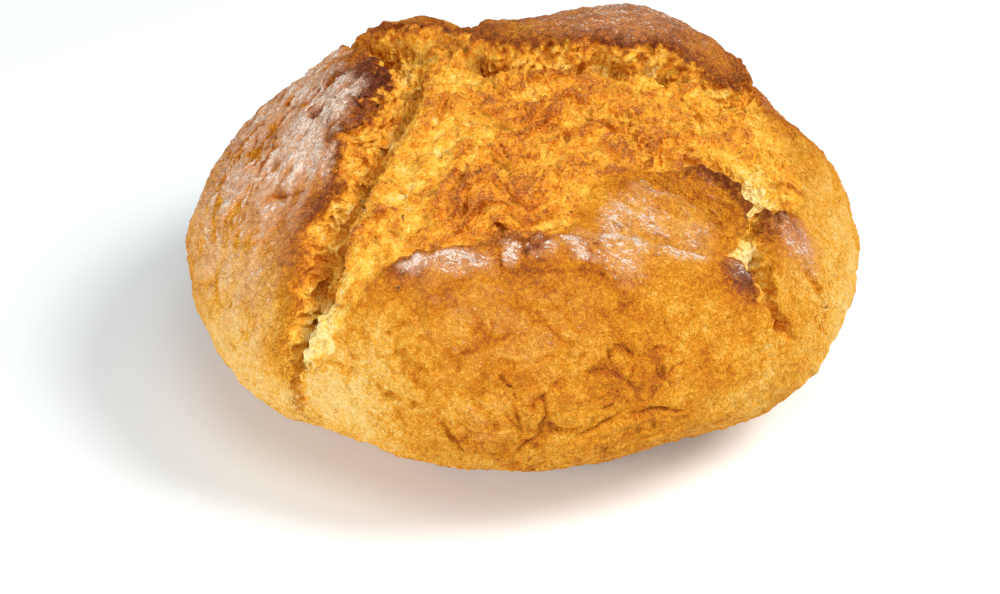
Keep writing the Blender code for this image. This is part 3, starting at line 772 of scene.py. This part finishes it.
scorch = scorch * ease_between(0.6, 1.0, cover)
scorch *= np.clip(bells(spots, lip_scorch), 0, 1)
crumb_mask = 1 - ease_between(0.72, 0.97, cover + 0.10 * lumps(skin_place, 2.0, 140))
flour_spots = {
    "slab_ridge": (-56, 4, 12, 1.0),
    "slab_middle": (-60, -12, 14, 0.9),
    "slab_low": (-66, -27, 14, 0.8),
    "slab_top": (-70, 22, 20, 0.9),
    "slab_peak": (-60, 44, 13, 0.9),
    "slab_far": (-88, -18, 16, 0.6),
    "slab_back": (-92, 12, 18, 0.5),
    "left_side": (-104, -30, 22, 0.4),
    "left_lower": (-84, -50, 18, 0.34),
    "left_front": (-92, -78, 22, 0.2),
    "tongue": (25, -59, 6, 0.9),
    "tongue_mid": (36, -58, 6, 0.5),
    "tongue_tip": (47, -61, 5, 0.6),
    "tongue_fold": (32, -51, 4, 0.3),
    "right_tip": (79, -47, 7, 0.6),
    "right_side": (88, -50, 8, 0.45),
    "front_tip": (62, -67, 5, 0.6),
    "front_low": (-14, -122, 16, 0.2),
    "front_mid": (-16, -86, 16, 0.26),
    "front_right": (28, -72, 7, 0.8),
    "front_centre": (4, -98, 9, 0.2),
    "back_slab": (26, 54, 16, 0.6),
    "back": (-10, 96, 34, 0.5),
    "shoulder": (86, 26, 14, 0.35),
}
bare_spots = {
    "slab_flap": (-42, 18, 9, 1.2),
    "slab_flap_top": (-48, 34, 7, 1.0),
    "slab_rim": (-46, -14, 7, 0.5),
    "slab_brown": (-82, 0, 8, 0.6),
    "slab_slot": (-57, 14, 4, 0.7),
    "slab_pocket": (-68, 6, 5, 0.4),
}
hem_flour = {
    "left": (1.3, 1.8, ((-36, -73), (-27, -72), (-18, -73), (-8, -76))),
    "left_thin": (2.2, 0.5, ((-34, -74), (-24, -75), (-12, -76))),
    "flap_top": (1.7, 1.4, ((-8, -68), (2, -67), (12, -66))),
    "flap_left": (1.8, 1.4, ((-7, -67), (-3, -71), (-5, -77))),
    "flap_right": (3.2, 1.1, ((10, -67), (16, -70), (18, -76))),
    "flap_middle": (2.4, 0.7, ((0, -73), (10, -71))),
    "right": (1.6, 0.8, ((18, -68), (28, -66), (42, -67), (54, -65))),
}
streak = np.where(spots[:, 0] < -40, lumps(raked, 3.0, 150), lumps(combed, 2.2, 152))
flour = bells(spots, flour_spots) * (0.78 + 0.6 * streak)
flour = flour + strokes(uneven_spots, hem_flour) * (0.8 + 0.8 * streak)
flour += 0.45 * tongue_lines * tongue_zone - bells(spots, bare_spots)
thin_film = {
    "slab": (-84, -2, 40, 0.50),
    "left_low": (-92, -50, 26, 0.26),
    "front": (2, -92, 24, 0.15),
    "tongue": (42, -50, 15, 0.12),
    "back_slab": (30, 54, 34, 0.60),
    "right_tip": (83, -47, 10, 0.50),
}
flour = np.maximum(flour, bells(spots, thin_film))
# Flour is kept out of the rake lines and wrinkles, and out of the creases, where it is painted shade.
flour -= (0.5 * ease_between(0.25, 0.6, rake_line) + 0.9 * wrinkle) * slab_zone + 0.5 * crease_painted_shade
flour = np.clip(flour, 0, 1) * cover * ease_between(-0.6, 1.4, sound + 1.5 * lumps(skin_place, 3.0, 151))
bake_and_shade_here = crumb_mask * crumb_bake_and_shade + (1 - crumb_mask) * crust_bake_and_shade
tone = np.column_stack([crumb_mask, bake_and_shade_here, flour, scorch])
tone = np.clip(tone, 0, 1).astype(np.float32)
loaf.data.vertices.foreach_set("co", (skin_place * MM).astype(np.float32).ravel())
crust_tone = loaf.data.attributes.new("crust_tone", "FLOAT_COLOR", "POINT")
crust_tone.data.foreach_set("color", tone.ravel())
loaf.data.update()

# The net keeps its faces where the relief needs them.
faces_kept, settle_height = 194000, 0.05 * MM
loaf.data.calc_loop_triangles()
thin = loaf.modifiers.new("thin", "DECIMATE")
thin.ratio = faces_kept / len(loaf.data.loop_triangles)
thin.use_collapse_triangulate = True
bpy.ops.object.modifier_apply(modifier=thin.name)
for corner in loaf.data.vertices:
    if corner.co.z < settle_height:
        corner.co.z = 0.0
bpy.ops.object.shade_smooth()

# What the loaf is made of to the eye: baked crust, torn crumb, flour and char, each laid on by the
# marks on the mesh and broken up by grain. The marks also carry painted shade in the creases and
# gullies, and the flour film carries painted light on the left side.
fibre_yellow = (0.98, 0.70, 0.22, 1.0)
meal_yellow = (0.98, 0.60, 0.035, 1.0)
fleck_brown = (0.10, 0.045, 0.02, 1.0)
# The film's pale colour is partly real flour and partly painted light on the left side.
film_and_painted_light_colour = (0.86, 0.55, 0.37, 1.0)
char_brown = (0.14, 0.026, 0.010, 1.0)
flour_white = (0.93, 0.78, 0.66, 1.0)
crust = bpy.data.materials.new("crust")
crust.use_nodes = True
nodes, links = crust.node_tree.nodes, crust.node_tree.links
face = nodes["Principled BSDF"]


def add(kind, **settings):
    made = nodes.new(kind)
    for name, value in settings.items():
        setattr(made, name, value)
    return made


def feed(source, target):
    """Joins a node's output to a slot, or sets the slot to a plain value."""
    if isinstance(source, (int, float, tuple)):
        target.default_value = source
    else:
        links.new(source, target)


def math_of(operation, a, b=0.0, clamp=False):
    made = add("ShaderNodeMath", operation=operation, use_clamp=clamp)
    feed(a, made.inputs[0])
    feed(b, made.inputs[1])
    return made.outputs[0]


def times(a, b, clamp=False):
    return math_of("MULTIPLY", a, b, clamp)


def plus(*terms):
    total = terms[0]
    for term in terms[1:]:
        total = math_of("ADD", total, term)
    return total


def weigh(*parts):
    """Sum of the parts, each times its share."""
    return plus(*[times(part, share) for part, share in parts])


def between(low, high, value):
    """0 below low, 1 above high, and soft in between."""
    made = add("ShaderNodeMapRange", interpolation_type="SMOOTHSTEP")
    feed(value, made.inputs["Value"])
    feed(low, made.inputs["From Min"])
    feed(high, made.inputs["From Max"])
    return made.outputs["Result"]


def colour_mix(share, a, b):
    made = add("ShaderNodeMix", data_type="RGBA")
    feed(share, made.inputs[0])
    feed(a, made.inputs[6])
    feed(b, made.inputs[7])
    return made.outputs[2]


def number_mix(share, a, b):
    made = add("ShaderNodeMix", data_type="FLOAT")
    feed(share, made.inputs[0])
    feed(a, made.inputs[2])
    feed(b, made.inputs[3])
    return made.outputs[0]


def speckle(size, detail=2.0, rough=0.6, coordinates=None, whole=False):
    """Noise about nought whose lumps are about this size in millimetres."""
    made = add("ShaderNodeTexNoise")
    feed(1.0 / (size * MM), made.inputs["Scale"])
    feed(detail, made.inputs["Detail"])
    feed(rough, made.inputs["Roughness"])
    feed(coordinates or place.outputs["Object"], made.inputs["Vector"])
    return made.outputs["Color"] if whole else math_of("SUBTRACT", made.outputs["Fac"], 0.5)


def ramp(share, stops):
    made = add("ShaderNodeValToRGB")
    band = made.color_ramp
    while len(band.elements) < len(stops):
        band.elements.new(0.5)
    for element, (at, colour) in zip(band.elements, stops):
        element.position = at
        element.color = (*colour, 1.0)
    feed(share, made.inputs["Fac"])
    return made.outputs["Color"]


place = add("ShaderNodeTexCoord")
tone_read = add("ShaderNodeAttribute", attribute_name="crust_tone")
split = add("ShaderNodeSeparateColor")
feed(tone_read.outputs["Color"], split.inputs[0])
crumb_share, bake_and_shade, floured = split.outputs
scorched = tone_read.outputs["Alpha"]

# The crumb breaks into small uneven crumbs, read at places pushed about by a wider noise.
push = add("ShaderNodeVectorMath", operation="MULTIPLY_ADD")
feed(speckle(3.0, 2.0, whole=True), push.inputs[0])
feed((3.2 * MM, 3.2 * MM, 3.2 * MM), push.inputs[1])
feed(place.outputs["Object"], push.inputs[2])


def crumbs(size, coordinates):
    """Small cells: how far each place is from its cell's middle, and a number for the cell."""
    made = add("ShaderNodeTexVoronoi")
    feed(1.0 / (size * MM), made.inputs["Scale"])
    feed(coordinates, made.inputs["Vector"])
    number = add("ShaderNodeSeparateColor")
    feed(made.outputs["Color"], number.inputs[0])
    return made.outputs["Distance"], math_of("SUBTRACT", number.outputs[0], 0.5)


coarse, middling = speckle(4.0), speckle(1.4)
sandy, dusty = speckle(0.6, 1.5, 0.7), speckle(0.32, 1.0)
crumb_gap, crumb_number = crumbs(1.5, push.outputs[0])
bit_gap, bit_number = crumbs(0.62, push.outputs[0])
fibre_noise = speckle(1.1, 2.0, 0.6, push.outputs[0])
fibres = math_of("SUBTRACT", 1.0, times(math_of("ABSOLUTE", fibre_noise), 16.0), clamp=True)

crumb_mottle = weigh(
    (coarse, 0.44), (middling, 0.55), (sandy, 0.55), (bit_number, 0.20), (crumb_number, 0.20)
)
crumb_colour = ramp(math_of("ADD", bake_and_shade, crumb_mottle, clamp=True), (
    (0.00, (0.97, 0.78, 0.36)),
    (0.20, (0.95, 0.62, 0.125)),
    (0.40, (0.91, 0.48, 0.042)),
    (0.60, (0.81, 0.315, 0.014)),
    (0.80, (0.66, 0.195, 0.012)),
    (1.00, (0.40, 0.092, 0.012)),
))
crumb_colour = colour_mix(times(fibres, 0.30), crumb_colour, fibre_yellow)


# Flour keeps to combed lines, which run one way on the slab and another on the tongue.
def comb_noise(heading):
    """Noise drawn out along one heading over the table."""
    made = add("ShaderNodeMapping")
    feed((0.0, 0.0, -math.radians(heading)), made.inputs["Rotation"])
    stretch = add("ShaderNodeVectorMath", operation="MULTIPLY")
    feed(push.outputs[0], made.inputs["Vector"])
    feed(made.outputs[0], stretch.inputs[0])
    feed((0.16, 1.0, 1.0), stretch.inputs[1])
    return speckle(0.85, 1.5, 0.6, stretch.outputs[0])


where = add("ShaderNodeSeparateXYZ")
feed(place.outputs["Object"], where.inputs[0])
slab_edge, tongue_edge = -0.035, -0.02
slab_heading, tongue_heading = 66, -26
right_of_slab = between(slab_edge, tongue_edge, where.outputs[0])
combs = number_mix(right_of_slab, comb_noise(slab_heading), comb_noise(tongue_heading))

grains = math_of("MINIMUM", weigh((bit_number, 0.26), (sandy, 0.6), (dusty, 0.5)), 0.09)
crust_mottle = plus(weigh((coarse, 0.34), (middling, 0.42)), grains)
crust_colour = ramp(math_of("ADD", bake_and_shade, crust_mottle, clamp=True), (
    (0.00, (0.92, 0.62, 0.22)),
    (0.20, (0.88, 0.45, 0.064)),
    (0.42, (0.71, 0.268, 0.011)),
    (0.62, (0.54, 0.152, 0.010)),
    (0.80, (0.33, 0.072, 0.014)),
    (1.00, (0.12, 0.029, 0.018)),
))
meal = between(0.10, 0.24, plus(sandy, times(dusty, 0.8)))
crust_colour = colour_mix(times(meal, 0.36), crust_colour, meal_yellow)
colour = colour_mix(crumb_share, crust_colour, crumb_colour)
fleck_gap, fleck_number = crumbs(8.0, push.outputs[0])
flecks = times(between(0.085, 0.05, fleck_gap), between(0.1, 0.12, fleck_number))
colour = colour_mix(times(flecks, 0.8), colour, fleck_brown)
# The flour film is real. Left of the slab's edge it is also laid on thicker, as painted light that
# brightens the left side.
film_and_painted_light = times(between(-0.03, 0.65, floured), plus(0.60, times(right_of_slab, -0.34)))
colour = colour_mix(film_and_painted_light, colour, film_and_painted_light_colour)
charred = between(0.15, 1.05, plus(scorched, middling, times(sandy, 0.6)))
colour = colour_mix(times(charred, 0.86), colour, char_brown)
dusting = weigh(
    (floured, 1.05), (coarse, 0.6), (combs, 2.8), (sandy, 1.0), (dusty, 1.2), (bit_number, 0.36)
)
dusting = times(between(0.74, 1.0, dusting), between(0.0, 0.25, floured))
dusting = times(dusting, plus(1.0, times(charred, -0.7)))
colour = colour_mix(times(dusting, 0.82), colour, flour_white)
feed(colour, face.inputs["Base Color"])
feed(plus(0.68, times(middling, 0.4)), face.inputs["Roughness"])
feed(0.07, face.inputs["Specular IOR Level"])
crust_swell = weigh((middling, 0.7), (sandy, 1.0), (bit_gap, -0.2), (times(combs, floured), 0.9))
crumb_swell = weigh((crumb_gap, -0.40), (bit_gap, -0.22), (sandy, 0.45))
bump = add("ShaderNodeBump")
feed(1.0, bump.inputs["Strength"])
feed(1.0 * MM, bump.inputs["Distance"])
feed(number_mix(crumb_share, crust_swell, crumb_swell), bump.inputs["Height"])
feed(bump.outputs["Normal"], face.inputs["Normal"])
loaf.data.materials.append(crust)

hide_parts("loaf")
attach(loaf, "root")
